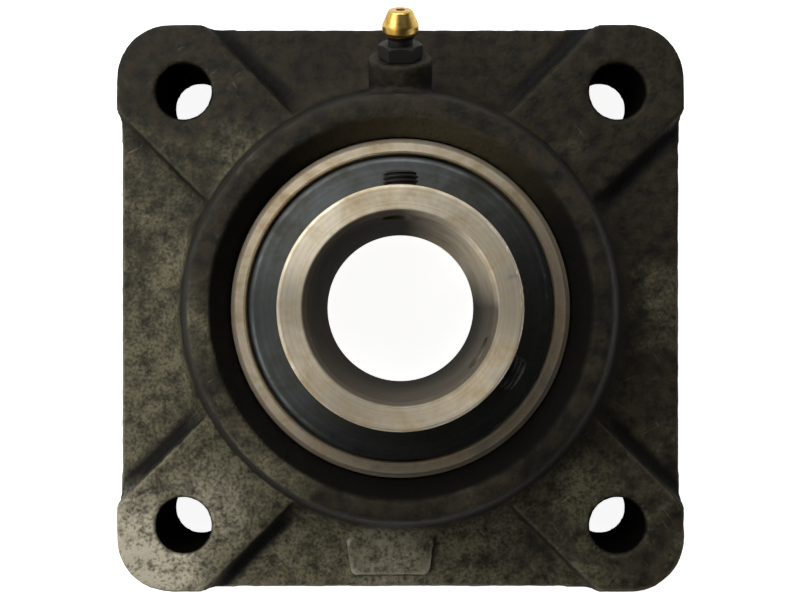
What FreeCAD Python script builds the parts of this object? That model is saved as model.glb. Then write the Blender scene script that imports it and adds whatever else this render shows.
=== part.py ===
import FreeCAD, Part

import math
import os

# Square four-bolt flange bearing unit for a 30 mm shaft, all sizes in millimetres and degrees.
# The origin is the middle of the back (mounting) face, on the shaft's axis.
# +Z runs along the shaft towards the front of the unit, and +Y points to the grease nipple.

# Flange of the cast housing
flange_side = 109.0
flange_corner_r = 10.5
bolt_edge = 13.0
bolt_hole_d = 10.5
bolt_hole_rim = 0.7
web_h = 12.0
flange_round = 0.9
back_bevel = 0.8

# Raised arms that run from the hub to the four corner bosses
arm_w = 25.0
arm_h = 15.0
arm_draft = 15.0
arm_round = 1.3
arm_flare = 2.2
arm_angle = 45.0

# Conical hub of the housing
hub_h = 31.0
hub_rim_w = 3.9
hub_rim_round = 1.8
hub_spread = 6.5
hub_flare = 5.0
flare_skirt = 1.2
flare_sink = 0.12

# Spherical seat of the insert, the hub's flared mouth and the loading slots at the back
insert_z = 18.0
seat_clearance = 0.03
seat_half_w = 7.0
mouth_land = 1.5
mouth_flare = 1.7
mouth_round = 0.9
slot_side_room = 0.4
slot_depth_room = 0.1

# Bare cast pad at the bottom edge of the flange
pad_w = 17.8
pad_foot_w = 15.4
pad_l = 8.0
pad_h = 1.1
pad_x = -2.0
pad_edge_gap = 2.7
pad_corner_r = 1.5
pad_round = 0.5

# Outer ring of the insert
outer_d = 62.0
outer_w = 19.0
outer_face_bevel = 0.6
outer_bore_bevel = 0.3
seal_bore_d = 54.4
seal_groove_depth = 0.5
seal_groove_w = 1.0
grease_groove_w = 2.6
grease_groove_depth = 0.5
grease_hole_d = 1.5
grease_hole_count = 2
grease_hole_start = 30.0

# Wide inner ring
shaft_d = 30.0
inner_w = 38.1
inner_rear = 15.9
nose_step = 0.6
inner_edge_round = 0.6
bore_bevel = 0.75

# Balls and raceways
ball_d = 9.525
ball_count = 9
ball_start = 90.0
pitch_d = 46.0
race_clearance = 0.02
race_ratio = 0.525
race_depth = 2.1

# Riveted ribbon cage
cage_pocket_room = 0.12
cage_sheet = 0.65
cage_band_w = 3.6
rivet_d = 1.4
rivet_fit = 0.02
rivet_head_d = 2.6
rivet_head_h = 0.45
rivet_head_bevel = 0.3

# Seals: a steel plate in the outer ring's groove, with a rubber lip bonded round its inner edge
seal_cage_gap = 0.55
seal_plate_t = 0.6
seal_fit = 0.05
lip_overlap = 0.7
lip_cover = 0.25
lip_reach = 2.4
lip_rise = 0.5
lip_tip_t = 0.35
lip_gap = 0.05

# Flingers pressed on the inner ring, just inside the outer ring's end faces
flinger_sheet = 0.7
flinger_fit = 0.02
flinger_recess = 0.2
flinger_rim_gap = 0.5
flinger_rim_l = 1.5
flinger_bend_r = 1.1
flinger_lip_gap = 0.25

# Set screws in the nose of the inner ring
screw_d = 6.0
screw_l = 6.0
screw_fit = 0.03
screw_from_face = 5.0
screw_tip_room = 1.4
screw_start = 90.0
screw_apart = 120.0
screw_edge_bevel = 0.4
screw_cup_d = 3.4
screw_cup_depth = 0.8
screw_key_w = 3.0
screw_key_depth = 2.6

# Grease nipple, its boss on the hub and the passage to the seat
nipple_tilt = 55.0
nipple_reach = 17.4
nipple_boss_d = 12.0
nipple_boss_round = 0.8
spot_face_d = 9.6
spot_face_depth = 0.3
thread_d = 6.0
thread_l = 5.5
thread_fit = 0.03
thread_end_bevel = 0.6
tap_room = 1.0
passage_d = 3.0
nipple_hex_w = 7.0
nipple_hex_h = 2.5
nipple_hex_bevel = 0.35
nipple_neck_d = 4.5
nipple_neck_h = 0.9
nipple_head_d = 6.5
nipple_head_rise = 1.3
nipple_head_band = 1.1
nipple_head_h = 5.8
nipple_tip_d = 4.2
nipple_head_round = 0.5

# Check ball and spring inside the nipple
check_ball_d = 2.1
check_gap = 0.03
check_channel_room = 0.2
nipple_mouth_d = 1.6
nipple_mouth_depth = 1.0
crimp_d = 1.4
crimp_l = 0.9
spring_wire_d = 0.28
spring_room = 0.15
spring_turns = 5

# Sizes that follow from the ones above
bolt_spacing = flange_side - 2 * bolt_edge
outer_r = outer_d / 2
seat_r = outer_r + seat_clearance
seat_bore_r = math.sqrt(seat_r**2 - seat_half_w**2)
mouth_r = seat_r + mouth_flare
hub_top_r = mouth_r + hub_rim_w
hub_base_r = hub_top_r + hub_spread
ball_r = ball_d / 2
pitch_r = pitch_d / 2
groove_r = race_ratio * ball_d
outer_groove_bottom = pitch_r + ball_r + race_clearance
inner_groove_bottom = pitch_r - ball_r - race_clearance
outer_land_r = outer_groove_bottom - race_depth
inner_land_r = inner_groove_bottom + race_depth
race_half_w = math.sqrt(groove_r**2 - (groove_r - race_depth) ** 2)
nose_r = inner_land_r - nose_step
seal_bore_r = seal_bore_d / 2
pocket_r = ball_r + cage_pocket_room
cage_half_h = pocket_r + cage_sheet
seal_seat = cage_half_h + seal_cage_gap
grease_offset = (race_half_w + seal_seat) / 2
flinger_face = outer_w / 2 - flinger_recess
flinger_in_r = inner_land_r + flinger_fit
flinger_rim_r = seal_bore_r - flinger_rim_gap
lip_top = seal_seat + seal_plate_t + lip_cover + lip_rise
overshoot = 1.0

origin = FreeCAD.Vector(0, 0, 0)
x_axis = FreeCAD.Vector(1, 0, 0)
y_axis = FreeCAD.Vector(0, 1, 0)
z_axis = FreeCAD.Vector(0, 0, 1)


def cylinder(radius, start, end):
    """A plain cylinder about the Z axis, between two heights given in either order."""
    return Part.makeCylinder(radius, abs(end - start), FreeCAD.Vector(0, 0, min(start, end)))


def tube(inner_radius, outer_radius, low, high):
    """A plain ring about the Z axis."""
    return cylinder(outer_radius, low, high).cut(cylinder(inner_radius, low, high))


def outline(corners):
    """A closed wire in the XZ plane; a third value in a corner rounds it with that radius."""
    starts = []
    ends = []
    middles = []
    count = len(corners)
    for index, corner in enumerate(corners):
        point = FreeCAD.Vector(corner[0], 0, corner[1])
        radius = corner[2] if len(corner) > 2 else 0.0
        if not radius:
            starts.append(point)
            ends.append(point)
            middles.append(None)
            continue
        before = corners[index - 1]
        after = corners[(index + 1) % count]
        towards = (FreeCAD.Vector(before[0], 0, before[1]) - point).normalize()
        onwards = (FreeCAD.Vector(after[0], 0, after[1]) - point).normalize()
        half_angle = towards.getAngle(onwards) / 2
        setback = radius / math.tan(half_angle)
        bisector = (towards + onwards).normalize()
        starts.append(point + towards * setback)
        ends.append(point + onwards * setback)
        middles.append(point + bisector * (radius / math.sin(half_angle) - radius))
    edges = []
    for index in range(count):
        if middles[index] is not None:
            edges.append(Part.Arc(starts[index], middles[index], ends[index]).toShape())
        following = (index + 1) % count
        if (starts[following] - ends[index]).Length > 1e-7:
            edges.append(Part.LineSegment(ends[index], starts[following]).toShape())
    return Part.Wire(edges)


def turned(corners):
    """The solid of revolution about Z of an outline given as radius and height."""
    return Part.Face(outline(corners)).revolve(origin, z_axis, 360)


def turned_from_centre(corners, side):
    """A turned solid whose heights count outwards from the insert's middle plane, side +1 or -1."""
    shape = turned([(corner[0], side * corner[1], *corner[2:]) for corner in corners])
    shape.translate(FreeCAD.Vector(0, 0, insert_z))
    return shape


def rounded_prism(corners, low, high, corner_radius, top_round):
    """An upright prism on a polygon, with round upright corners and a round top edge."""
    points = [FreeCAD.Vector(corner[0], corner[1], low) for corner in corners]
    floor = Part.Face(Part.makePolygon([*points, points[0]]))
    prism = floor.extrude(FreeCAD.Vector(0, 0, high - low))
    upright = [edge for edge in prism.Edges if abs(edge.tangentAt(edge.FirstParameter).z) > 0.5]
    prism = prism.makeFillet(corner_radius, upright)
    if top_round:
        top = [edge for edge in prism.Edges if edge.BoundBox.ZMin > high - overshoot / 2]
        prism = prism.makeFillet(top_round, top)
    return prism


def bolt_places():
    """The four bolt axes, at the corners of a square."""
    half = bolt_spacing / 2
    return [FreeCAD.Vector(sx * half, sy * half, 0) for sx in (-1, 1) for sy in (-1, 1)]


def flange_block(height, top_round):
    """The flange's square plan up to a height."""
    half = flange_side / 2
    corners = [(-half, -half), (half, -half), (half, half), (-half, half)]
    return rounded_prism(corners, 0, height, flange_corner_r, top_round)


def diagonal_arm(angle):
    """One raised drafted bar across the flange, with flared feet and round shoulders."""
    lean = (arm_h - web_h) * math.tan(math.radians(arm_draft))
    foot = arm_w / 2
    skirt = foot + arm_flare + flare_skirt
    foot_z = web_h - flare_sink
    section = outline(
        [
            (-skirt, web_h / 2),
            (skirt, web_h / 2),
            (skirt, foot_z),
            (foot, foot_z, arm_flare),
            (foot - lean, arm_h, arm_round),
            (lean - foot, arm_h, arm_round),
            (-foot, foot_z, arm_flare),
            (-skirt, foot_z),
        ]
    )
    section.translate(FreeCAD.Vector(0, -flange_side, 0))
    bar = Part.Face(section).extrude(FreeCAD.Vector(0, 2 * flange_side, 0))
    bar.rotate(origin, z_axis, angle)
    return bar


def hub():
    """The conical hub, with a flared foot on the flange and a round rim."""
    skirt = hub_base_r + hub_flare + flare_skirt
    foot_z = web_h - flare_sink
    return turned(
        [
            (0, web_h / 2),
            (skirt, web_h / 2),
            (skirt, foot_z),
            (hub_base_r, foot_z, hub_flare),
            (hub_top_r, hub_h, hub_rim_round),
            (0, hub_h),
        ]
    )


def cast_pad():
    """The bare raised pad between the hub and the bottom edge, narrower towards that edge."""
    near_edge = pad_edge_gap - flange_side / 2
    near_hub = near_edge + pad_l
    corners = [
        (pad_x - pad_foot_w / 2, near_edge),
        (pad_x + pad_foot_w / 2, near_edge),
        (pad_x + pad_w / 2, near_hub),
        (pad_x - pad_w / 2, near_hub),
    ]
    return rounded_prism(corners, web_h / 2, web_h + pad_h, pad_corner_r, pad_round)


def along_nipple(shape):
    """Carries a shape made about Z, with the nipple's seat at height 0, to the nipple's place."""
    lean = math.radians(nipple_tilt)
    entry = FreeCAD.Vector(0, seat_r, insert_z - grease_offset)
    shape.rotate(origin, x_axis, -nipple_tilt)
    shape.translate(entry + FreeCAD.Vector(0, math.sin(lean), math.cos(lean)) * nipple_reach)
    return shape


def nipple_boss():
    """The round boss on the hub's flank that takes the nipple."""
    radius = nipple_boss_d / 2
    profile = [
        (0, -nipple_reach),
        (radius, -nipple_reach),
        (radius, spot_face_depth, nipple_boss_round),
        (0, spot_face_depth),
    ]
    return along_nipple(turned(profile))


def nipple_drilling():
    """Spot face, tapped hole and grease passage, down to the insert's seat."""
    passage_r = passage_d / 2
    tapped_r = thread_d / 2
    tapped_l = thread_l + tap_room
    profile = [
        (0, -nipple_reach - passage_d),
        (passage_r, -nipple_reach - passage_d),
        (passage_r, -tapped_l - (tapped_r - passage_r) / 2),
        (tapped_r, -tapped_l),
        (tapped_r, 0),
        (spot_face_d / 2, 0),
        (spot_face_d / 2, spot_face_depth + overshoot),
        (0, spot_face_depth + overshoot),
    ]
    return along_nipple(turned(profile))


def insert_chamber():
    """The space that the insert sits in: through bore, spherical seat and flared mouth."""
    through = cylinder(seat_bore_r, -overshoot, hub_h + overshoot)
    seat = Part.makeSphere(seat_r, FreeCAD.Vector(0, 0, insert_z))
    flare_start = insert_z + seat_half_w + mouth_land
    mouth = turned(
        [
            (0, flare_start),
            (seat_bore_r, flare_start),
            (mouth_r, hub_h, mouth_round),
            (mouth_r + 2 * mouth_round, hub_h),
            (mouth_r + 2 * mouth_round, hub_h + overshoot),
            (0, hub_h + overshoot),
        ]
    )
    back_mouth = turned(
        [
            (0, -overshoot),
            (seat_bore_r + back_bevel + overshoot, -overshoot),
            (seat_bore_r, back_bevel),
            (0, back_bevel),
        ]
    )
    return through.fuse([seat, mouth, back_mouth])


def loading_slots():
    """Two slots at the back, through which the insert goes in edgeways."""
    width = outer_w + 2 * slot_side_room
    reach = cylinder(seat_r + slot_depth_room, -overshoot, insert_z)
    corner = FreeCAD.Vector(-flange_side / 2, -width / 2, -overshoot)
    lane = Part.makeBox(flange_side, width, insert_z + overshoot, corner)
    return reach.common(lane)


def bolt_drilling():
    """One bolt hole with its worn, bevelled rims at both faces, clear of all that stands above it."""
    radius = bolt_hole_d / 2
    wide = radius + bolt_hole_rim
    return turned(
        [
            (0, -overshoot),
            (wide, -overshoot),
            (wide, 0),
            (radius, bolt_hole_rim),
            (radius, arm_h - bolt_hole_rim),
            (wide, arm_h),
            (wide, hub_h + overshoot),
            (0, hub_h + overshoot),
        ]
    )


def back_edge():
    """The bevel round the back of the flange, as the solid to keep."""
    block = flange_block(hub_h + overshoot, 0)
    bottom = [edge for edge in block.Edges if edge.BoundBox.ZMax < overshoot / 2]
    return block.makeChamfer(back_bevel, bottom)


def housing():
    """The one-piece iron casting with all its machining."""
    arms = diagonal_arm(arm_angle).fuse(diagonal_arm(-arm_angle))
    corners = arms.common(flange_block(arm_h, flange_round))
    casting = flange_block(web_h, flange_round)
    for raised in (hub(), corners, cast_pad(), nipple_boss()):
        casting = casting.fuse(raised)
    casting = casting.common(back_edge())
    holes = []
    for place in bolt_places():
        hole = bolt_drilling()
        hole.translate(place)
        holes.append(hole)
    casting = casting.cut([insert_chamber(), loading_slots(), nipple_drilling(), *holes])
    return casting.removeSplitter()


def grease_groove_cut():
    """The groove round the outer ring's back, that feeds its grease holes."""
    bottom_r = math.sqrt(outer_r**2 - grease_offset**2) - grease_groove_depth
    low = insert_z - grease_offset - grease_groove_w / 2
    return tube(bottom_r, outer_r + overshoot, low, low + grease_groove_w)


def grease_holes():
    """The small radial holes from the groove to the side of the raceway."""
    holes = []
    for index in range(grease_hole_count):
        angle = grease_hole_start + index * 360 / grease_hole_count
        start = FreeCAD.Vector(outer_land_r - overshoot, 0, insert_z - grease_offset)
        hole = Part.makeCylinder(grease_hole_d / 2, outer_r, start, x_axis)
        hole.rotate(origin, z_axis, angle)
        holes.append(hole)
    return holes


def outer_ring():
    """Outer ring: spherical back, raceway, seal bores with their grooves, grease groove."""
    half = outer_w / 2
    face_r = math.sqrt(outer_r**2 - half**2)
    blank = turned_from_centre(
        [
            (outer_land_r, -half),
            (face_r - outer_face_bevel, -half),
            (face_r + overshoot, -half + outer_face_bevel + overshoot),
            (outer_r + overshoot, 0),
            (face_r + overshoot, half - outer_face_bevel - overshoot),
            (face_r - outer_face_bevel, half),
            (outer_land_r, half),
        ],
        1,
    )
    ring = blank.common(Part.makeSphere(outer_r, FreeCAD.Vector(0, 0, insert_z)))
    centre = FreeCAD.Vector(0, 0, insert_z)
    race = Part.makeTorus(outer_groove_bottom - groove_r, groove_r, centre)
    cuts = [race, grease_groove_cut(), *grease_holes()]
    for side in (-1, 1):
        cuts.append(
            turned_from_centre(
                [
                    (outer_land_r - overshoot, seal_seat),
                    (seal_bore_r + seal_groove_depth, seal_seat),
                    (seal_bore_r + seal_groove_depth, seal_seat + seal_groove_w),
                    (seal_bore_r, seal_seat + seal_groove_w + seal_groove_depth),
                    (seal_bore_r, half - outer_bore_bevel),
                    (seal_bore_r + outer_bore_bevel + overshoot, half + overshoot),
                    (outer_land_r - overshoot, half + overshoot),
                ],
                side,
            )
        )
    return ring.cut(cuts)


def screw_angles():
    """Where the set screws stand round the shaft, the first at the nipple's side."""
    return [screw_start, screw_start - screw_apart]


def radial_place(shape, angle, radius, height):
    """Turns a shape made about Z to point outwards at an angle, and carries it to its radius."""
    shape.rotate(origin, y_axis, 90)
    shape.translate(FreeCAD.Vector(radius, 0, height))
    shape.rotate(origin, z_axis, angle)
    return shape


def inner_ring():
    """Wide inner ring: bore, raceway, two lands and the nose with its set-screw holes."""
    low = insert_z - inner_rear
    high = low + inner_w
    bore_r = shaft_d / 2
    land_low = insert_z - outer_w / 2
    land_high = insert_z + outer_w / 2
    ring = turned(
        [
            (bore_r, low + bore_bevel),
            (bore_r + bore_bevel, low),
            (nose_r, low, inner_edge_round),
            (nose_r, land_low - nose_step),
            (inner_land_r, land_low),
            (inner_land_r, land_high),
            (nose_r, land_high + nose_step),
            (nose_r, high, inner_edge_round),
            (bore_r + bore_bevel, high),
            (bore_r, high - bore_bevel),
        ]
    )
    race = Part.makeTorus(inner_groove_bottom + groove_r, groove_r, FreeCAD.Vector(0, 0, insert_z))
    cuts = [race]
    for angle in screw_angles():
        hole = cylinder(screw_d / 2 + screw_fit, 0, nose_r)
        cuts.append(radial_place(hole, angle, bore_r / 2, high - screw_from_face))
    return ring.cut(cuts)


def ball(index):
    """One ball of the row."""
    angle = math.radians(ball_start + index * 360 / ball_count)
    centre = FreeCAD.Vector(pitch_r * math.cos(angle), pitch_r * math.sin(angle), insert_z)
    return Part.makeSphere(ball_r, centre)


def around_pitch(shape, offset_steps):
    """Copies of a shape made at the pitch radius on +Y, one for each ball, offset by steps."""
    copies = []
    for index in range(ball_count):
        copy = shape.copy()
        copy.rotate(origin, z_axis, (index + offset_steps) * 360 / ball_count)
        copies.append(copy)
    return copies


def cage_half(side):
    """One pressed half of the cage: a flat ribbon with a round pocket for each ball."""
    inner_edge = pitch_r - cage_band_w / 2
    outer_edge = pitch_r + cage_band_w / 2
    at_ball = FreeCAD.Vector(0, pitch_r, insert_z)
    band = tube(inner_edge, outer_edge, 0, side * cage_half_h + side * overshoot)
    flat = tube(inner_edge, outer_edge, 0, side * cage_sheet)
    for shape in (band, flat):
        shape.translate(FreeCAD.Vector(0, 0, insert_z))
    domes = around_pitch(Part.makeSphere(cage_half_h, at_ball), 0)
    pockets = around_pitch(Part.makeSphere(pocket_r, at_ball), 0)
    hole = Part.makeCylinder(rivet_d / 2 + rivet_fit, 2 * ball_d, at_ball - z_axis * ball_d)
    half = flat.fuse([dome.common(band) for dome in domes])
    return half.cut(pockets + around_pitch(hole, 0.5)).removeSplitter()


def cage_rivets():
    """The rivets that hold the two halves together, midway between the balls."""
    seat = cage_sheet
    top = seat + rivet_head_h
    head_r = rivet_head_d / 2
    shank_r = rivet_d / 2
    rivet = turned(
        [
            (0, -top),
            (head_r - rivet_head_bevel, -top),
            (head_r, rivet_head_bevel - top),
            (head_r, -seat),
            (shank_r, -seat),
            (shank_r, seat),
            (head_r, seat),
            (head_r, top - rivet_head_bevel),
            (head_r - rivet_head_bevel, top),
            (0, top),
        ]
    )
    rivet.translate(FreeCAD.Vector(0, pitch_r, insert_z))
    return Part.makeCompound(around_pitch(rivet, 0.5))


def seal_plate(side):
    """The pressed steel plate that sits in the outer ring's groove."""
    edge_r = seal_bore_r + seal_groove_depth - seal_fit
    inner_edge = inner_land_r + lip_reach
    return turned_from_centre(
        [
            (inner_edge, seal_seat + seal_fit),
            (edge_r, seal_seat + seal_fit),
            (edge_r, seal_seat + seal_fit + seal_plate_t),
            (inner_edge, seal_seat + seal_fit + seal_plate_t),
        ],
        side,
    )


def seal_lip(side):
    """The rubber lip bonded round the plate's inner edge, reaching to the inner ring's land."""
    low = seal_seat + seal_fit
    high = low + seal_plate_t
    plate_r = inner_land_r + lip_reach
    cover_r = plate_r + lip_overlap
    tip_r = inner_land_r + lip_gap
    return turned_from_centre(
        [
            (tip_r, lip_top - lip_tip_t),
            (plate_r - lip_overlap, low - lip_cover),
            (cover_r, low - lip_cover),
            (cover_r, low),
            (plate_r, low),
            (plate_r, high),
            (cover_r, high),
            (cover_r, high + lip_cover),
            (plate_r - lip_overlap, high + lip_cover),
            (tip_r, lip_top),
        ],
        side,
    )


def flinger(side):
    """Pressed sheet flinger: a collar on the inner ring, a disc and a turned-back rim."""
    back = flinger_face - flinger_sheet
    collar_r = flinger_in_r + flinger_sheet
    rim_in_r = flinger_rim_r - flinger_sheet
    rim_end = flinger_face - flinger_rim_l
    return turned_from_centre(
        [
            (flinger_in_r, lip_top + flinger_lip_gap),
            (collar_r, lip_top + flinger_lip_gap),
            (collar_r, back),
            (rim_in_r, back, flinger_bend_r - flinger_sheet),
            (rim_in_r, rim_end),
            (flinger_rim_r, rim_end),
            (flinger_rim_r, flinger_face, flinger_bend_r),
            (flinger_in_r, flinger_face, flinger_sheet / 2),
        ],
        side,
    )


def hexagon(width, low, high):
    """A hexagonal bar about Z, of a width across flats."""
    corner_r = width / math.sqrt(3)
    points = []
    for index in range(7):
        angle = math.radians(60 * index)
        points.append(FreeCAD.Vector(corner_r * math.cos(angle), corner_r * math.sin(angle), low))
    return Part.Face(Part.makePolygon(points)).extrude(FreeCAD.Vector(0, 0, high - low))


def set_screws():
    """Cup-point set screws with a hexagon socket, backed out as they are before fitting."""
    radius = screw_d / 2
    screws = []
    height = insert_z - inner_rear + inner_w - screw_from_face
    for angle in screw_angles():
        screw = turned(
            [
                (0, screw_cup_depth),
                (screw_cup_d / 2, 0),
                (radius - screw_edge_bevel, 0),
                (radius, screw_edge_bevel),
                (radius, screw_l - screw_edge_bevel),
                (radius - screw_edge_bevel, screw_l),
                (0, screw_l),
            ]
        )
        socket = hexagon(screw_key_w, screw_l - screw_key_depth, screw_l + overshoot)
        screw = screw.cut(socket)
        screws.append(radial_place(screw, angle, shaft_d / 2 + screw_tip_room, height))
    return Part.makeCompound(screws)


def nipple_top():
    """Height of the nipple's tip above its seat."""
    return nipple_hex_h + nipple_head_h


def check_ball_height():
    """Height of the check ball's centre above the nipple's seat, with the ball on its mouth."""
    sunk = math.sqrt((check_ball_d / 2) ** 2 - (nipple_mouth_d / 2) ** 2)
    return nipple_top() - nipple_mouth_depth - sunk - check_gap


def grease_nipple():
    """Turned nipple body: threaded shank, hexagon, neck and head, with a stepped channel."""
    head_base = nipple_hex_h + nipple_neck_h
    head_wide = head_base + nipple_head_rise
    shank_r = thread_d / 2 - thread_fit
    head_r = nipple_head_d / 2
    neck_r = nipple_neck_d / 2
    body = turned(
        [
            (0, -thread_l),
            (shank_r - thread_end_bevel, -thread_l),
            (shank_r, thread_end_bevel - thread_l),
            (shank_r, nipple_hex_h / 2),
            (neck_r, nipple_hex_h / 2),
            (neck_r, head_base),
            (head_r, head_wide, nipple_head_round),
            (head_r, head_wide + nipple_head_band, nipple_head_round),
            (nipple_tip_d / 2, nipple_top(), nipple_head_round),
            (0, nipple_top()),
        ]
    )
    corner_r = nipple_hex_w / math.sqrt(3)
    bevelled = turned(
        [
            (0, 0),
            (corner_r, 0),
            (corner_r, nipple_hex_h - nipple_hex_bevel),
            (corner_r - 2 * nipple_hex_bevel, nipple_hex_h),
            (0, nipple_hex_h),
        ]
    )
    body = body.fuse(hexagon(nipple_hex_w, 0, nipple_hex_h).common(bevelled))
    channel_r = check_ball_d / 2 + check_channel_room
    channel_top = nipple_top() - nipple_mouth_depth
    channel = cylinder(channel_r, crimp_l - thread_l, channel_top)
    mouth = cylinder(nipple_mouth_d / 2, channel_top - overshoot, nipple_top() + overshoot)
    crimp = cylinder(crimp_d / 2, -thread_l - overshoot, crimp_l - thread_l + overshoot)
    return along_nipple(body.cut([channel, mouth, crimp]))


def nipple_ball():
    """The check ball that closes the nipple's mouth."""
    centre = FreeCAD.Vector(0, 0, check_ball_height())
    return along_nipple(Part.makeSphere(check_ball_d / 2, centre))


def nipple_spring():
    """The coil spring between the crimped end of the channel and the check ball."""
    wire_r = spring_wire_d / 2
    coil_r = check_ball_d / 2 + check_channel_room - spring_room - wire_r
    low = crimp_l - thread_l + wire_r
    dip = math.sqrt((check_ball_d / 2 + wire_r) ** 2 - coil_r**2)
    high = check_ball_height() - dip - check_gap
    path = Part.makeHelix((high - low) / spring_turns, high - low, coil_r)
    section = Part.Wire(Part.makeCircle(wire_r, FreeCAD.Vector(coil_r, 0, 0), y_axis))
    spring = path.makePipeShell([section], True, True)
    spring.translate(FreeCAD.Vector(0, 0, low))
    return along_nipple(spring)


def pieces():
    """Every piece of the unit, by node name."""
    found = {
        "housing": housing(),
        "outer_ring": outer_ring(),
        "inner_ring": inner_ring(),
        "cage_front": cage_half(1),
        "cage_rear": cage_half(-1),
        "cage_rivets": cage_rivets(),
        "seal_front_plate": seal_plate(1),
        "seal_front_lip": seal_lip(1),
        "seal_rear_plate": seal_plate(-1),
        "seal_rear_lip": seal_lip(-1),
        "flinger_front": flinger(1),
        "flinger_rear": flinger(-1),
        "set_screws": set_screws(),
        "grease_nipple": grease_nipple(),
        "nipple_ball": nipple_ball(),
        "nipple_spring": nipple_spring(),
    }
    for index in range(ball_count):
        found[f"ball_{index + 1}"] = ball(index)
    return found


os.makedirs("parts", exist_ok=True)
for name, shape in pieces().items():
    shape.exportStep(f"parts/{name}.step")
    print(f"{name:18s} valid {shape.isValid()} solids {len(shape.Solids)} volume {shape.Volume:10.2f}")
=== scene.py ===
import logging
import math
from contextlib import contextmanager
from dataclasses import dataclass
from enum import Enum
from typing import Any, Iterable, Iterator, Optional, Sequence

import bpy
from mathutils import Matrix, Vector


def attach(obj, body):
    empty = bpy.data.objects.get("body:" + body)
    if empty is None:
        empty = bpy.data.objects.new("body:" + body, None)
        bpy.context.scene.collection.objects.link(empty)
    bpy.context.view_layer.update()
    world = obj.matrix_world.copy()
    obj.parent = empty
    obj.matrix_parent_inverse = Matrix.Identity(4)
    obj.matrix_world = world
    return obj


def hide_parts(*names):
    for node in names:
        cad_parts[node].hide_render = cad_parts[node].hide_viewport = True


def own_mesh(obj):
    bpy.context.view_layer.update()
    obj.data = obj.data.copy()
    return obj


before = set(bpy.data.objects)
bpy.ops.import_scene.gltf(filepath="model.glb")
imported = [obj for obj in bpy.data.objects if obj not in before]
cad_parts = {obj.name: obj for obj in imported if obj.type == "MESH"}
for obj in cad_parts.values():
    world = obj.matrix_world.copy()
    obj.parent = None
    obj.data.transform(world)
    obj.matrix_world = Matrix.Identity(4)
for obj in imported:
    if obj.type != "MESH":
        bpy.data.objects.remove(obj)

# Flange bearing unit: a square cast housing, a bearing insert, two set screws and a grease nipple.
# Lengths in the classes below are millimetres unless they say otherwise; the scene is in metres.

MM = 0.001
LOG = logging.getLogger("flange_unit")

Colour = tuple[float, float, float, float]
Point = tuple[float, float, float]
Tree = bpy.types.NodeTree
Socket = bpy.types.NodeSocket
Piece = bpy.types.Object
Settings = dict[Any, Any]
# A value's low and high end, and what each of them becomes.
Ramp = tuple[float, float, float, float]
# A soft round spot seen from the front: X and Y of its middle, its radius and its strength.
Spot = tuple[float, float, float, float]

SEAT_CENTRE = 18.0
SEAT_RADIUS = 31.03
BOLT_OFFSET = 41.5
NIPPLE_SEAT: Point = (0.0, 45.2833, 22.9022)
NIPPLE_TILT = 55.0


class Node(Enum):
    """The kinds of shader node in use: Blender's name, and the operation where there is one."""

    ADD_SHADER = "AddShader"
    APART = "VectorMath DISTANCE"
    BACKGROUND = "Background"
    BELOW = "Math LESS_THAN"
    BUMP = "Bump"
    DIFFUSE = "BsdfDiffuse"
    DOT = "VectorMath DOT_PRODUCT"
    EMISSION = "Emission"
    FOLDED = "VectorMath ABSOLUTE"
    GEOMETRY = "NewGeometry"
    HIGHER = "Math MAXIMUM"
    JOIN = "CombineXYZ"
    LENGTH = "VectorMath LENGTH"
    MAPPING = "Mapping"
    MIX = "Mix"
    MIX_SHADER = "MixShader"
    NEAR = "Math COMPARE"
    NOISE = "TexNoise"
    OUTPUT = "OutputMaterial"
    PLACE = "TexCoord"
    PLUS = "Math ADD"
    PRINCIPLED = "BsdfPrincipled"
    RANGE = "MapRange"
    RAY = "LightPath"
    SCALED = "VectorMath MULTIPLY"
    SIZE = "Math ABSOLUTE"
    SPLIT = "SeparateXYZ"
    TANGENT = "Tangent"
    TIMES = "Math MULTIPLY"
    WORLD = "OutputWorld"


class Cut(Enum):
    """What a tool body does to a piece."""

    TAKE_AWAY = "DIFFERENCE"
    KEEP_SHARED = "INTERSECT"


PRESSED_FLAT: Settings = {1: (1.0, 1.0, 0.0)}
CLAMPED: Settings = {"use_clamp": True}
SEEN_KINDS = ("Is Camera Ray", "Is Glossy Ray", "Is Transmission Ray")


def linear(hex_colour: str) -> Colour:
    """Turns an sRGB colour into Blender's linear one.

    Args:
        hex_colour: The colour as "#rrggbb".

    Returns:
        Red, green, blue and alpha, linear.
    """
    channels = []
    for start in (1, 3, 5):
        value = int(hex_colour[start:start + 2], 16) / 255
        channels.append(value / 12.92 if value <= 0.04045 else ((value + 0.055) / 1.055) ** 2.4)
    return (channels[0], channels[1], channels[2], 1.0)


def per_metre(size: float) -> float:
    """The texture scale at which a pattern's features are about this many millimetres wide."""
    return 1 / (size * MM)


def lumps(size: float, detail: float, rough: float, bent: float = 0.0) -> Settings:
    """The settings of noise whose lumps are about a size in millimetres."""
    return {"Scale": per_metre(size), "Detail": detail, "Roughness": rough, "Distortion": bent}


def ends(ramp: Ramp, soft: bool = False) -> Settings:
    """The settings that map one range of values to another, with soft ends or without."""
    return {"interpolation_type": "SMOOTHSTEP" if soft else "LINEAR", **dict(enumerate(ramp, 1))}


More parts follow.
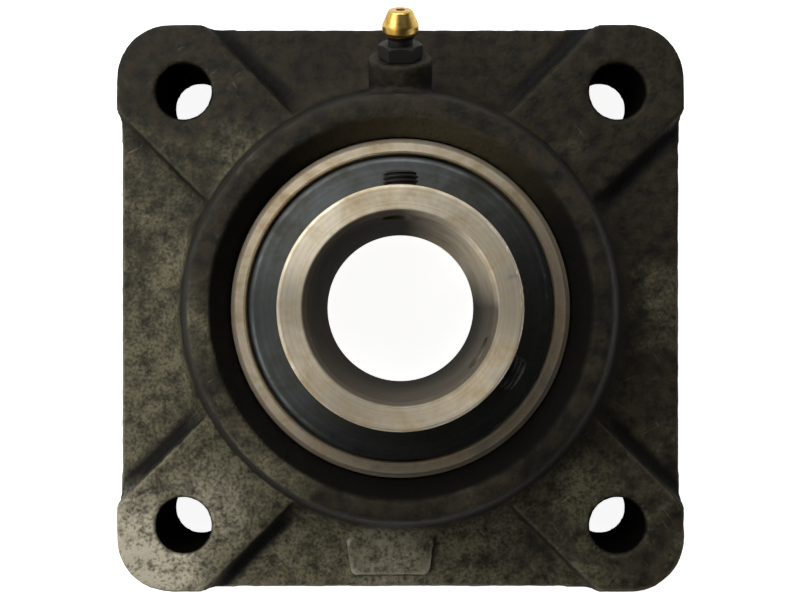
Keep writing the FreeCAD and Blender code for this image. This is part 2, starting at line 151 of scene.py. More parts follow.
def add(
    tree: Tree,
    kind: Node,
    settings: Optional[Settings] = None,
    links: Optional[dict[Any, Socket]] = None,
    result: Any = 0,
) -> Optional[Socket]:
    """Adds one node with its settings and links.

    Args:
        tree: The node tree that gets the node.
        kind: The node's kind.
        settings: Values by the node's property name, or by a socket's name or number.
        links: What feeds the node, by the socket's name or number.
        result: The name or number of the output to hand back.

    Returns:
        The node's output socket, or None where the node has none.
    """
    shader_node, _, operation = kind.value.partition(" ")
    node = tree.nodes.new(f"ShaderNode{shader_node}")
    if operation:
        node.operation = operation
    for key, value in (settings or {}).items():
        if isinstance(key, str) and hasattr(node, key):
            setattr(node, key, value)
        else:
            node.inputs[key].default_value = value
    for key, source in (links or {}).items():
        tree.links.new(source, node.inputs[key])
    return node.outputs[result] if len(node.outputs) else None


def seen_rays(tree: Tree) -> Socket:
    """The rays that show a background: the camera's own, and those mirrored or let through.

    Args:
        tree: The node tree of the floor or the world.

    Returns:
        1 for such a ray and 0 for others.
    """
    kinds = [add(tree, Node.RAY, result=kind) for kind in SEEN_KINDS]
    seen = kinds[0]
    for kind in kinds[1:]:
        seen = add(tree, Node.HIGHER, {}, {0: seen, 1: kind})
    return seen


def from_axis(tree: Tree, place: Socket) -> Socket:
    """How far each place is from the Z axis, in metres."""
    flat = add(tree, Node.SCALED, PRESSED_FLAT, {0: place})
    return add(tree, Node.LENGTH, {}, {0: flat}, "Value")


def ring_noise(tree: Tree, place: Socket, pitch: float) -> Socket:
    """Noise that only varies with the distance from the Z axis and with height.

    Args:
        tree: The material's node tree.
        place: Object coordinates.
        pitch: Width of one ring in millimetres.

    Returns:
        The noise, from 0 to 1.
    """
    height = add(tree, Node.SPLIT, {}, {0: place}, "Z")
    across = add(tree, Node.JOIN, {}, {0: from_axis(tree, place), 1: height})
    rings = {"noise_dimensions": "2D", **lumps(pitch, 3.0, 0.7)}
    return add(tree, Node.NOISE, rings, {"Vector": across})


def turning_marks(tree: Tree, place: Socket, pitch: float, strength: float, depth: float) -> Socket:
    """Fine uneven rings about the Z axis, as a lathe or a grinding wheel leaves them.

    Args:
        tree: The material's node tree.
        place: Object coordinates.
        pitch: Width of one ring in millimetres, coarser than real tool marks so that it shows.
        strength: Strength of the bump.
        depth: Depth of the marks in millimetres.

    Returns:
        The bumped normal.
    """
    cut = {"Strength": strength, "Distance": depth * MM}
    return add(tree, Node.BUMP, cut, {"Height": ring_noise(tree, place, pitch)}, "Normal")


@dataclass(frozen=True)
class Finish:
    """What a surface is made of and how it was made."""

    name: str

    def shade(self, tree: Tree, place: Socket) -> Socket:
        """Builds the shader of the finish, in the subclasses."""
        raise NotImplementedError

    def material(self) -> bpy.types.Material:
        """Makes the finish's material, once.

        Returns:
            The material, patterned by Object coordinates.
        """
        known = bpy.data.materials.get(self.name)
        if known:
            return known
        material = bpy.data.materials.new(self.name)
        material.use_nodes = True
        tree = material.node_tree
        tree.nodes.clear()
        place = add(tree, Node.PLACE, result="Object")
        add(tree, Node.OUTPUT, links={"Surface": self.shade(tree, place)})
        return material

    def dress(self, piece: Piece) -> None:
        """Puts the finish on a piece, over whatever it had."""
        piece.data.materials.clear()
        piece.data.materials.append(self.material())


@dataclass(frozen=True)
class PaintedSandCasting(Finish):
    """Black enamel brushed over a sand-cast grey iron skin.

    The eye gets a nearly black, slightly olive coat that keeps the sand's grain, with dust on the
    level faces, scuffs, and bare iron where the lower left corner is handled. Painted shade
    darkens the arms' feet, the steep faces, the bolt holes and the hub's mouth, and painted shadow
    the hub's right and lower side; painted light lightens the lower left, the pad and the top
    right of the mouth. The spherical seat and the back face are machined after casting and stay
    bare.
    """

    name: str = "black_enamel_on_sand_cast_iron"
    specular: float = 0.12
    paint_deep: str = "#1a1813"
    paint: str = "#312c22"
    dust_and_light_tone: str = "#69644f"
    worn: str = "#b9b19c"
    # The colour of painted shade and painted shadow.
    shaded: str = "#0b0a08"
    # A lighter patch at the top right of the hub's mouth, painted light.
    mouth_painted_light: str = "#4b4433"
    machined: str = "#8b867c"
    machined_roughness: float = 0.34
    sand_grain: float = 0.7
    grain_depth: float = 0.28
    grain_strength: float = 0.6
    cast_swell: float = 3.0
    swell_depth: float = 0.7
    swell_strength: float = 0.45
    patch: float = 17.0
    scuff_width: float = 0.6
    scuff_turns: tuple[float, float] = (0.6, -1.05)
    scuff_stretch: Point = (1.0, 9.0, 1.0)
    web_height: float = 12.0
    hub_height: float = 31.0
    hub_foot_radius: float = 40.0
    arm_half_width: float = 12.4
    lit_side_reach: float = 9.0
    mouth_radius: float = 33.3
    bolt_radius: float = 5.35
    turning_pitch: float = 0.35
    turning_depth: float = 0.02
    turning_strength: float = 0.25
    level_face: Ramp = (0.25, 0.8, 0.0, 1.0)
    # Steep faces get painted shade.
    steep_shade: Ramp = (0.0, 1.0, 0.7, 0.0)
    dust_and_light_cover: Ramp = (0.38, 1.1, 0.0, 0.9)
    # Dust and painted light: lighter towards the lower left.
    dust_and_light_lean: Point = (-4.5, -6.0, 0.0)
    dust_lost_up_the_hub: float = 0.2
    speckle: Ramp = (0.36, 0.64, 0.3, 1.5)
    clump: Ramp = (0.32, 0.66, 0.35, 1.7)
    pooling: Ramp = (0.35, 0.62, 0.0, 1.0)
    roughness: Ramp = (0.3, 0.7, 0.56, 0.74)
    knocked_edge: Ramp = (0.52, 0.58, 0.0, 0.8)
    handled: Ramp = (0.35, 0.9, 0.0, 1.0)
    scratch: Ramp = (0.68, 0.78, 0.0, 0.28)
    scratch_in_dust_and_light: Ramp = (0.3, 0.9, 0.1, 1.0)
    # The band of painted shade along the arms' feet: its edges, its fading near the hub, and what
    # stays of it on the flanks that face the lower left, where light falls.
    arm_shade_edges: tuple[float, float, float] = (0.8, 1.4, 3.4)
    arm_shade_off_the_hub: Ramp = (3.0, 8.0, 0.3, 1.0)
    arm_shade_on_lit_side: Ramp = (0.0, 1.0, 1.0, 0.15)
    hole_edge: float = 0.5
    mouth_edge: float = 0.8
    # How much painted shade the hub's mouth gets.
    mouth_shade: float = 0.92
    seat_margin: float = 0.2
    back_height: float = 0.06
    # Dust spots and painted light; the negative ones take dust off beside the hub as painted shade.
    dust_light_and_shade_spots: tuple[Spot, ...] = (
        (-2, -48, 11, 0.85), (49, 2, 16, 0.45), (32, 30, 12, 0.35),
        (42, 44, 14, 0.3), (-31, 30, 12, 0.35), (-35, 0, 12, 0.2),
        (-25, -25, 10, 0.15), (-25, 25, 10, 0.25), (0, 36, 12, 0.15),
        (-43, 10, 8, 0.3), (-42, -12, 8, 0.2), (34, -34, 10, 0.3),
        (-14, 47, 15, -0.35), (34, 0, 16, -0.4), (24, -24, 10, -0.4),
        (0, -34, 12, -0.4),
    )
    # Bare iron spots: worn at the lower left corner and partly painted light there, painted light
    # on the pad.
    worn_and_lit_spots: tuple[Spot, ...] = (
        (-50, -49, 18, 1.15), (-37, -38, 12, 0.3), (-2, -48.5, 11, 0.3),
    )
    # Painted shadow: spots turned to the shaded colour beside the hub, at its right, bottom and
    # top.
    painted_shadow_spots: tuple[Spot, ...] = (
        (37, 0, 12, 0.5), (25, -25, 9, 0.6), (0, -37, 9, 0.35),
        (-16, 49, 12, 0.3),
    )
    # Where the mouth's painted light lies.
    mouth_lit_spot: Spot = (6, 30, 30, 1)

    def shade(self, tree: Tree, place: Socket) -> Socket:
        """Builds the paint, its wear, its painted light and shade, and the bare machined faces.

        Args:
            tree: The material's node tree.
            place: Object coordinates.

        Returns:
            The shader.
        """
        grain = add(tree, Node.NOISE, lumps(self.sand_grain, 5.0, 0.6), {0: place})
        swell = add(tree, Node.NOISE, lumps(self.cast_swell, 3.0, 0.6), {0: place})
        dust_and_light_field = self.dust_and_painted_light(tree, place)
        edge = self.edge_wear(tree, dust_and_light_field)
        recess_shade = self.painted_shade_in_recesses(tree, place)
        bare = self.machined_mask(tree, place)
        # Painted shade in the bolt holes and the hub's mouth, painted light at the mouth's top
        # right.
        film = {"data_type": "RGBA", 6: linear(self.shaded), 7: linear(self.mouth_painted_light)}
        recess_shade_colour = add(tree, Node.MIX, film, {0: self.spot(tree, place, self.mouth_lit_spot)}, 2)
        coat = self.coat(tree, place, (grain, swell, dust_and_light_field, edge))
        coat = add(tree, Node.MIX, {"data_type": "RGBA"}, {0: recess_shade, 6: coat, 7: recess_shade_colour}, 2)
        iron = {"data_type": "RGBA", 7: linear(self.machined)}
        colour = add(tree, Node.MIX, iron, {0: bare, 6: coat}, 2)
        rough = add(tree, Node.RANGE, ends(self.roughness), {0: swell})
        for dulled in (edge, recess_shade):
            rough = add(tree, Node.PLUS, CLAMPED, {0: rough, 1: dulled})
        rough = add(tree, Node.MIX, {3: self.machined_roughness}, {0: bare, 2: rough})
        skin = {"Strength": self.grain_strength, "Distance": self.grain_depth * MM}
        skin = add(tree, Node.BUMP, skin, {"Height": grain}, "Normal")
        swollen = {"Strength": self.swell_strength, "Distance": self.swell_depth * MM}
        skin = add(tree, Node.BUMP, swollen, {"Height": swell, "Normal": skin}, "Normal")
        cut = (self.turning_pitch, self.turning_strength, self.turning_depth)
        turned = turning_marks(tree, place, *cut)
        normal = add(tree, Node.MIX, {"data_type": "VECTOR"}, {0: bare, 4: skin, 5: turned}, 1)
        return add(
            tree,
            Node.PRINCIPLED,
            {"Specular IOR Level": self.specular},
            {"Base Color": colour, "Metallic": bare, "Roughness": rough, "Normal": normal},
        )

    def coat(self, tree: Tree, place: Socket, skin: Sequence[Socket]) -> Socket:
        """Lays dust with painted light and shade, scratches, painted shade and bare iron, in order.

        Args:
            tree: The material's node tree.
            place: Object coordinates.
            skin: Sand grain, casting swell, dust with painted light and shade, and the worn edges.

        Returns:
            The colour of the painted skin.
        """
        grain, swell, dust_and_light_field, edge = skin
        level = add(tree, Node.PLACE, result="Normal")
        level = add(tree, Node.SPLIT, {}, {0: level}, "Z")
        level = add(tree, Node.RANGE, ends(self.level_face), {0: level})
        speckled = add(tree, Node.RANGE, ends(self.speckle), {0: grain})
        clumped = add(tree, Node.RANGE, ends(self.clump), {0: swell})
        # The dust layer also carries the painted light and shade of the lean and the spots.
        dust = add(tree, Node.RANGE, ends(self.dust_and_light_cover, soft=True), {0: dust_and_light_field})
        for factor in (speckled, clumped, level):
            dust = add(tree, Node.TIMES, CLAMPED, {0: dust, 1: factor})
        # Painted shade on steep faces, and along the arms' feet.
        steep = add(tree, Node.RANGE, ends(self.steep_shade), {0: level})
        flank_shade = add(tree, Node.HIGHER, {}, {0: steep, 1: self.painted_shade_along_arms(tree, place)})
        # Bare iron spots, partly painted light.
        rubbed_and_lit = self.strongest(tree, place, self.worn_and_lit_spots)
        bared_and_lit = add(tree, Node.TIMES, {}, {0: speckled, 1: rubbed_and_lit})
        bared_and_lit = add(tree, Node.TIMES, CLAMPED, {0: bared_and_lit, 1: clumped})
        pooled = add(tree, Node.RANGE, ends(self.pooling), {0: swell})
        paints = {"data_type": "RGBA", 6: linear(self.paint_deep), 7: linear(self.paint)}
        colour = add(tree, Node.MIX, paints, {0: pooled}, 2)
        # In order: dust with painted light and shade, scratches, painted shadow, painted shade,
        # bare iron with some painted light, knocked edges.
        layers = (
            (self.dust_and_light_tone, dust),
            (self.worn, self.scuffs(tree, place, dust_and_light_field)),
            (self.shaded, self.strongest(tree, place, self.painted_shadow_spots)),
            (self.shaded, flank_shade),
            (self.worn, bared_and_lit),
            (self.worn, edge),
        )
        for layer, amount in layers:
            over = {"data_type": "RGBA", 7: linear(layer)}
            colour = add(tree, Node.MIX, over, {0: amount, 6: colour}, 2)
        return colour

    def spot(self, tree: Tree, place: Socket, where: Spot) -> Socket:
        """A soft round spot seen from the front.

        Args:
            tree: The material's node tree.
            place: Object coordinates.
            where: The spot.

        Returns:
            The strength in the middle and 0 outside.
        """
        x, y, radius, strength = where
        flat = add(tree, Node.SCALED, PRESSED_FLAT, {0: place})
        away = add(tree, Node.APART, {1: (x * MM, y * MM, 0.0)}, {0: flat}, "Value")
        return add(tree, Node.RANGE, ends((0.0, radius * MM, strength, 0.0), soft=True), {0: away})

    def strongest(self, tree: Tree, place: Socket, spots: tuple[Spot, ...]) -> Socket:
        """The strongest of several soft round spots at each place.

        Args:
            tree: The material's node tree.
            place: Object coordinates.
            spots: The spots.

        Returns:
            The strength.
        """
        total = self.spot(tree, place, spots[0])
        for where in spots[1:]:
            other = self.spot(tree, place, where)
            total = add(tree, Node.HIGHER, {}, {0: total, 1: other})
        return total

    def dust_and_painted_light(self, tree: Tree, place: Socket) -> Socket:
        """How much dust there is, with painted light and shade in it.

        Dust lies in patches, less on the hub's rim. Lighter towards the lower left is dust and
        painted light; negative spots are painted shade beside the hub, at its right, bottom and
        top.

        Args:
            tree: The material's node tree.
            place: Object coordinates.

        Returns:
            About 0 where clean and 1 where thick; painted light adds and painted shade takes away.
        """
        total = add(tree, Node.NOISE, lumps(self.patch, 4.0, 0.62, 0.8), {0: place})
        lean = add(tree, Node.DOT, {1: self.dust_and_light_lean}, {0: place}, "Value")
        height = add(tree, Node.SPLIT, {}, {0: place}, "Z")
        risen = ((self.web_height + 2) * MM, self.hub_height * MM, 0.0, -self.dust_lost_up_the_hub)
        parts = [lean, add(tree, Node.RANGE, ends(risen), {0: height})]
        parts += [self.spot(tree, place, where) for where in self.dust_light_and_shade_spots]
        for part in parts:
            total = add(tree, Node.PLUS, {}, {0: total, 1: part})
        return total

    def painted_shade_along_arms(self, tree: Tree, place: Socket) -> Socket:
        """Painted shade along the feet of the four arms, left off the flanks that face the lower
        left.

        Args:
            tree: The material's node tree.
            place: Object coordinates.

        Returns:
            Near 1 along the arms' feet and 0 elsewhere.
        """
        folded = add(tree, Node.FOLDED, {}, {0: place})
        off_diagonal = {1: (math.sqrt(0.5), -math.sqrt(0.5), 0.0)}
        aside = add(tree, Node.DOT, off_diagonal, {0: folded}, "Value")
        aside = add(tree, Node.SIZE, {}, {0: aside})
        foot = self.arm_half_width * MM
        inner, full, outer = (edge * MM for edge in self.arm_shade_edges)
        rise = add(tree, Node.RANGE, ends((foot - inner, foot, 0.0, 1.0)), {0: aside})
        fall = ends((foot + full, foot + outer, 1.0, 0.0), soft=True)
        band = add(tree, Node.RANGE, fall, {0: aside})
        near, far, weak, strong = self.arm_shade_off_the_hub
        hub = self.hub_foot_radius
        reach = ((hub + near) * MM, (hub + far) * MM, weak, strong)
        outside = add(tree, Node.RANGE, ends(reach), {0: from_axis(tree, place)})
        # Most of the painted shade is left off the flanks that face the lower left, where light
        # falls.
        spared_on_lit_side = add(tree, Node.DOT, {1: (1.0, 1.0, 0.0)}, {0: place}, "Value")
        lower_left = {1: -math.sqrt(2) * foot, 2: self.lit_side_reach * MM}
        spared_on_lit_side = add(tree, Node.NEAR, lower_left, {0: spared_on_lit_side})
        kept = add(tree, Node.RANGE, ends(self.arm_shade_on_lit_side), {0: spared_on_lit_side})
        for factor in (rise, outside, kept):
            band = add(tree, Node.TIMES, {}, {0: band, 1: factor})
        return band

    def edge_wear(self, tree: Tree, dust_and_light_field: Socket) -> Socket:
        """Knocked edges, more where the unit is handled and dust and painted light are thick.

        Args:
            tree: The material's node tree.
            dust_and_light_field: How much dust and painted light each place has.

        Returns:
            0 on whole enamel, more on a bare edge.
        """
        edge = add(tree, Node.GEOMETRY, result="Pointiness")
        edge = add(tree, Node.RANGE, ends(self.knocked_edge), {0: edge})
        rubbed_and_lit = add(tree, Node.RANGE, ends(self.handled), {0: dust_and_light_field})
        return add(tree, Node.TIMES, {}, {0: edge, 1: rubbed_and_lit})

    def scuffs(self, tree: Tree, place: Socket, dust_and_light_field: Socket) -> Socket:
        """Short light scratches in two directions, drawn coarser than real ones so that they show.

        Args:
            tree: The material's node tree.
            place: Object coordinates.
            dust_and_light_field: How much dust and painted light each place has.

        Returns:
            0 on whole enamel, more in a scratch.
        """
        fine = lumps(self.scuff_width, 2.0, 0.6)
        scratches = []
        for turn in self.scuff_turns:
            along = {"vector_type": "TEXTURE", 2: (0.0, 0.0, turn), 3: self.scuff_stretch}
            stretched = add(tree, Node.MAPPING, along, {0: place})
            lines = add(tree, Node.NOISE, fine, {0: stretched})
            scratches.append(add(tree, Node.RANGE, ends(self.scratch), {0: lines}))
        both = add(tree, Node.HIGHER, {}, dict(enumerate(scratches)))
        dust_and_light_here = add(tree, Node.RANGE, ends(self.scratch_in_dust_and_light), {0: dust_and_light_field})
        return add(tree, Node.TIMES, {}, {0: both, 1: dust_and_light_here})

    def painted_shade_in_recesses(self, tree: Tree, place: Socket) -> Socket:
        """Finds the bolt holes and the hub's mouth, which get painted shade.

        Args:
            tree: The material's node tree.
            place: Object coordinates.

        Returns:
            1 in the recesses and 0 on the open skin.
        """
        flat = add(tree, Node.SCALED, PRESSED_FLAT, {0: place})
        corner = add(tree, Node.FOLDED, {}, {0: flat})
        axis = {1: (BOLT_OFFSET * MM, BOLT_OFFSET * MM, 0.0)}
        bolt = add(tree, Node.APART, axis, {0: corner}, "Value")
        wall = (self.bolt_radius * MM, (self.bolt_radius + self.hole_edge) * MM, 1.0, 0.0)
        hole = add(tree, Node.RANGE, ends(wall), {0: bolt})
        rim = self.mouth_radius
        rim = ((rim - self.mouth_edge) * MM, rim * MM, self.mouth_shade, 0.0)
        mouth = add(tree, Node.RANGE, ends(rim), {0: from_axis(tree, place)})
        return add(tree, Node.HIGHER, {}, {0: hole, 1: mouth})

    def machined_mask(self, tree: Tree, place: Socket) -> Socket:
        """Finds the spherical seat and the back face by their place.

        Args:
            tree: The material's node tree.
            place: Object coordinates.

        Returns:
            1 on the machined faces and 0 on the painted skin.
        """
        reach = add(tree, Node.APART, {1: (0.0, 0.0, SEAT_CENTRE * MM)}, {0: place}, "Value")
        inside = add(tree, Node.BELOW, {1: (SEAT_RADIUS + self.seat_margin) * MM}, {0: reach})
        height = add(tree, Node.SPLIT, {}, {0: place}, "Z")
        back = add(tree, Node.BELOW, {1: self.back_height * MM}, {0: height})
        return add(tree, Node.HIGHER, {}, {0: inside, 1: back})


@dataclass(frozen=True)
class TurnedMetal(Finish):
    """A metal turned or ground about the unit's axis, under a thin film of oil or lacquer.

    The eye gets a satin metal whose highlights stretch across the fine rings of the tool, with a
    slightly uneven tint where the film is thicker.
    """

    name: str
    metal: str
    film: str
    roughness: float
    ring_pitch: float = 0.35
    mark_depth: float = 0.012
    stretch: float = 0.0
    patch: float = 5.0
    mark_strength: float = 0.5
    streak: Ramp = (0.25, 0.75, 0.82, 1.08)
    bore_radius: float = 0.0
    bore_edge: float = 0.5
    rim_radius: float = 0.0
    rim_edge: float = 1.1
    rim_cover: float = 0.8
    # This colour darkens a face towards its outer rim, and is painted shade in a bore.
    dark_cover: str = "#2b2419"
    # How much painted shade the bore gets, and where it is left off the wall facing the light.
    bore_shade: float = 0.89
    lit_side_towards: float = 44.0
    lit_side_from: float = 0.7
    lit_side_clear: float = 0.96
    filmed_roughness: float = 0.6
    seat: Point = (0.0, 0.0, 0.0)
    tilt: float = 0.0
    overspray_height: float = 0.0
    overspray_drift: float = 0.6
    overspray_edge: float = 0.3
    overspray: str = "#1a1813"

    def shade(self, tree: Tree, place: Socket) -> Socket:
        """Builds the rings, the film and the metal.

        Args:
            tree: The material's node tree.
            place: Object coordinates.

        Returns:
            The shader.
        """
        turned = {
            "vector_type": "TEXTURE",
            1: tuple(value * MM for value in self.seat),
            2: (-math.radians(self.tilt), 0.0, 0.0),
        }
        place = add(tree, Node.MAPPING, turned, {0: place})
        patches = add(tree, Node.NOISE, lumps(self.patch, 5.0, 0.6, 0.4), {0: place})
        filmed = add(tree, Node.RANGE, ends((0.38, 0.66, 0.0, 1.0)), {0: patches})
        tints = {"data_type": "RGBA", 6: linear(self.metal), 7: linear(self.film)}
        colour = add(tree, Node.MIX, tints, {0: filmed}, 2)
        rings = ring_noise(tree, place, self.ring_pitch)
        streak = add(tree, Node.RANGE, ends(self.streak), {0: rings})
        streaked = {"data_type": "RGBA", "blend_type": "MULTIPLY", 0: 1.0}
        colour = add(tree, Node.MIX, streaked, {6: colour, 7: streak}, 2)
        spread = (0.3, 0.7, self.roughness * 0.8, self.roughness * 1.3)
        rough = add(tree, Node.RANGE, ends(spread), {0: patches})
        covered = self.covered(tree, place, patches)
        cover = linear(self.overspray if self.overspray_height else self.dark_cover)
        colour = add(tree, Node.MIX, {"data_type": "RGBA", 7: cover}, {0: covered, 6: colour}, 2)
        rough = add(tree, Node.MIX, {3: self.filmed_roughness}, {0: covered, 2: rough})
        bare = add(tree, Node.RANGE, ends((0.0, 1.0, 1.0, 0.0)), {0: covered})
        normal = turning_marks(tree, place, self.ring_pitch, self.mark_strength, self.mark_depth)
        around = add(tree, Node.TANGENT, {"direction_type": "RADIAL", "axis": "Z"})
        surface = {"Base Color": colour, "Metallic": bare, "Roughness": rough, "Normal": normal}
        return add(
            tree,
            Node.PRINCIPLED,
            {"Anisotropic": self.stretch, "Anisotropic Rotation": 0.25, "Specular IOR Level": 0.25},
            {**surface, "Tangent": around},
        )

    def covered(self, tree: Tree, place: Socket, patches: Socket) -> Socket:
        """Finds what is covered: drifted paint on a foot, a darker rim, a bore in painted shade.

        Args:
            tree: The material's node tree.
            place: Coordinates about the piece's own axis.
            patches: Noise that makes the edge of the paint uneven.

        Returns:
            1 where covered and 0 on bare metal.
        """
        if self.overspray_height:
            uneven = self.overspray_drift * MM
            drift = add(tree, Node.RANGE, ends((0.0, 1.0, -uneven, uneven)), {0: patches})
            height = add(tree, Node.SPLIT, {}, {0: place}, "Z")
            height = add(tree, Node.PLUS, {}, {0: height, 1: drift})
            top = self.overspray_height
            top = ((top - self.overspray_edge) * MM, top * MM, 1.0, 0.0)
            return add(tree, Node.RANGE, ends(top), {0: height})
        radius = from_axis(tree, place)
        if self.rim_radius:
            rim = self.rim_radius
            rim = (rim * MM, (rim + self.rim_edge) * MM, 0.0, self.rim_cover)
            return add(tree, Node.RANGE, ends(rim), {0: radius})
        # The bore's painted shade is left off the wall that faces the light.
        side = math.radians(self.lit_side_towards)
        towards = {1: (math.cos(side), math.sin(side), 0.0)}
        aside = add(tree, Node.DOT, towards, {0: place}, "Value")
        edge = self.bore_radius * MM
        spared_on_lit_side = (edge * self.lit_side_from, edge * self.lit_side_clear, self.bore_shade, 0.0)
        spared_on_lit_side = add(tree, Node.RANGE, ends(spared_on_lit_side), {0: aside})
        wall = (edge, edge + self.bore_edge * MM, 1.0, 0.0)
        inside = add(tree, Node.RANGE, ends(wall), {0: radius})
        return add(tree, Node.TIMES, {}, {0: spared_on_lit_side, 1: inside})


@dataclass(frozen=True)
class CoatedSheet(Finish):
    """Pressed sheet or moulded surface under a thin coloured coat.

    The eye gets an even satin skin with a faint orange peel, small dull spots and a little dust.
    """

    name: str
    coat: str
    dull: str
    roughness: float
    metallic: float = 0.0
    peel: float = 0.6
    peel_depth: float = 0.02
    peel_strength: float = 0.4
    patch: float = 6.0

    def shade(self, tree: Tree, place: Socket) -> Socket:
        """Builds the coat, its dull patches and its orange peel.

        Args:
            tree: The material's node tree.
            place: Object coordinates.

        Returns:
            The shader.
        """
        patches = add(tree, Node.NOISE, lumps(self.patch, 6.0, 0.65), {0: place})
        peel = add(tree, Node.NOISE, lumps(self.peel, 3.0, 0.5), {0: place})
        dulled = add(tree, Node.RANGE, ends((0.4, 0.68, 0.0, 1.0)), {0: patches})
        tints = {"data_type": "RGBA", 6: linear(self.coat), 7: linear(self.dull)}
        colour = add(tree, Node.MIX, tints, {0: dulled}, 2)
        spread = (0.3, 0.7, self.roughness * 0.8, min(1.0, self.roughness * 1.35))
        rough = add(tree, Node.RANGE, ends(spread), {0: patches})
        skin = {"Strength": self.peel_strength, "Distance": self.peel_depth * MM}
        normal = add(tree, Node.BUMP, skin, {"Height": peel}, "Normal")
        return add(
            tree,
            Node.PRINCIPLED,
            {"Metallic": self.metallic},
            {"Base Color": colour, "Roughness": rough, "Normal": normal},
        )


@dataclass(frozen=True)
class StudioPaper(Finish):
    """Seamless white studio paper: matt, and white to the camera with the object's shadow on it."""

    name: str = "white_studio_paper"
    paper: str = "#f4f4f2"
    fibre: float = 1.5
    fibre_depth: float = 0.05
    glow: float = 0.93
    mirrored_glow: float = 0.3

    def shade(self, tree: Tree, place: Socket) -> Socket:
        """Builds the paper.

        Args:
            tree: The material's node tree.
            place: Object coordinates.

        Returns:
            The shader.
        """
        fibre = add(tree, Node.NOISE, lumps(self.fibre, 2.0, 0.5), {0: place})
        felt = {"Strength": 0.05, "Distance": self.fibre_depth * MM}
        normal = add(tree, Node.BUMP, felt, {"Height": fibre}, "Normal")
        paper = {"Color": linear(self.paper), "Roughness": 0.6}
        matt = add(tree, Node.DIFFUSE, paper, {"Normal": normal})
        camera = add(tree, Node.RAY, result="Is Camera Ray")
        glow = add(tree, Node.RANGE, ends((0.0, 1.0, self.mirrored_glow, self.glow)), {0: camera})
        lit = add(tree, Node.EMISSION, {}, {"Strength": glow})
        both = add(tree, Node.ADD_SHADER, {}, {0: matt, 1: lit})
        return add(tree, Node.MIX_SHADER, {}, {0: seen_rays(tree), 1: matt, 2: both})


CASTING = PaintedSandCasting()
SHADED_HOLE_ENAMEL = PaintedSandCasting(
    # The same brushed enamel on the bolt holes' walls, with no sheen at all: painted shade there.
    name="bolt_hole_enamel_in_painted_shade",
    specular=0.0,
)
OUTER_RING_STEEL = TurnedMetal(
    # Through-hardened bearing steel, ground, with brown preservative oil: satin, warm and ringed.
    name="ground_outer_ring_steel_oiled",
    metal="#d1c6b1",
    film="#ae9c7f",
    roughness=0.48,
    stretch=0.6,
    # The face is darker towards its outer rim.
    rim_radius=29.0,
    dark_cover="#3a3225",
)
INNER_RING_STEEL = TurnedMetal(
    # The same steel with a brighter turned face: champagne satin. The bore is painted shade, dark
    # inside except on the wall that faces the light.
    name="ground_inner_ring_steel_oiled",
    metal="#e2d7c1",
    film="#c6b596",
    roughness=0.5,
    stretch=0.8,
    bore_radius=15.5,
)
BRASS = TurnedMetal(
    # Free-cutting brass, turned from bar: yellow, bright on the ridges and a little tarnished.
    name="turned_brass",
    metal="#ecca72",
    film="#c49a48",
    roughness=0.3,
    ring_pitch=0.25,
    mark_depth=0.01,
    patch=2.5,
    seat=NIPPLE_SEAT,
    tilt=NIPPLE_TILT,
    overspray_height=4.4,
)
BLACK_OXIDE = CoatedSheet(
    # Blackened alloy steel: nearly black, dry and slightly brown where the oil has gone.
    name="black_oxide_on_alloy_steel",
    coat="#131314",
    dull="#211f1c",
    roughness=0.5,
    metallic=0.3,
    peel=0.4,
    peel_depth=0.01,
    patch=1.5,
)
SLATE_COAT = TurnedMetal(
    # Cold-rolled sheet, spun to shape, under a thin dark slate coat: cool, with a sheen round it.
    name="slate_coat_on_spun_sheet",
    metal="#5b6061",
    film="#4b4b46",
    roughness=0.46,
    ring_pitch=0.5,
    mark_depth=0.008,
    stretch=0.7,
)
PLATE_STEEL = CoatedSheet(
    # Bright cold-rolled sheet, blanked: grey satin with faint smears of grease.
    name="cold_rolled_sheet",
    coat="#8f8f8d",
    dull="#76746c",
    roughness=0.36,
    metallic=1.0,
    peel=0.5,
)
CAGE_STEEL = CoatedSheet(
    # Pressed steel strip under a film of grease: grey with amber patches.
    name="greased_pressed_strip",
    coat="#97958d",
    dull="#7f735a",
    roughness=0.3,
    metallic=1.0,
    peel=0.5,
    patch=3.0,
)
RUBBER = CoatedSheet(
    # Nitrile rubber, compression moulded: matt black with a grey bloom.
    name="moulded_nitrile_rubber",
    coat="#151516",
    dull="#222223",
    roughness=0.62,
    peel=0.3,
    peel_depth=0.02,
    patch=2.0,
)
BALL_STEEL = CoatedSheet(
    # Lapped bearing steel: a clear mirror, with a smear of grease.
    name="lapped_bearing_steel",
    coat="#c9c9c8",
    dull="#b9b29f",
    roughness=0.1,
    metallic=1.0,
    peel=1.0,
    peel_depth=0.002,
    patch=3.0,
)
SPRING_WIRE = CoatedSheet(
    # Hard-drawn wire: bright, with the die's fine scratches.
    name="drawn_spring_wire",
    coat="#b2b2b0",
    dull="#8d8b85",
    roughness=0.28,
    metallic=1.0,
    peel=0.15,
    peel_depth=0.01,
    patch=0.8,
)


def deselect_all() -> None:
    """Leaves edit mode and deselects every object."""
    if bpy.context.object and bpy.context.object.mode != "OBJECT":
        bpy.ops.object.mode_set(mode="OBJECT")
    bpy.ops.object.select_all(action="DESELECT")


def pick(piece: Piece) -> None:
    """Makes one object the only selected and the active one.

    Args:
        piece: The object.
    """
    deselect_all()
    piece.select_set(True)
    bpy.context.view_layer.objects.active = piece


@contextmanager
def editing() -> Iterator[None]:
    """Edit mode on the active piece, with all of it selected."""
    bpy.ops.object.mode_set(mode="EDIT")
    bpy.ops.mesh.select_all(action="SELECT")
    yield
    bpy.ops.object.mode_set(mode="OBJECT")


def settle() -> None:
    """Leaves the selected piece's place in its mesh, with its object at the origin."""
    bpy.ops.object.transform_apply(location=True, rotation=True, scale=True)


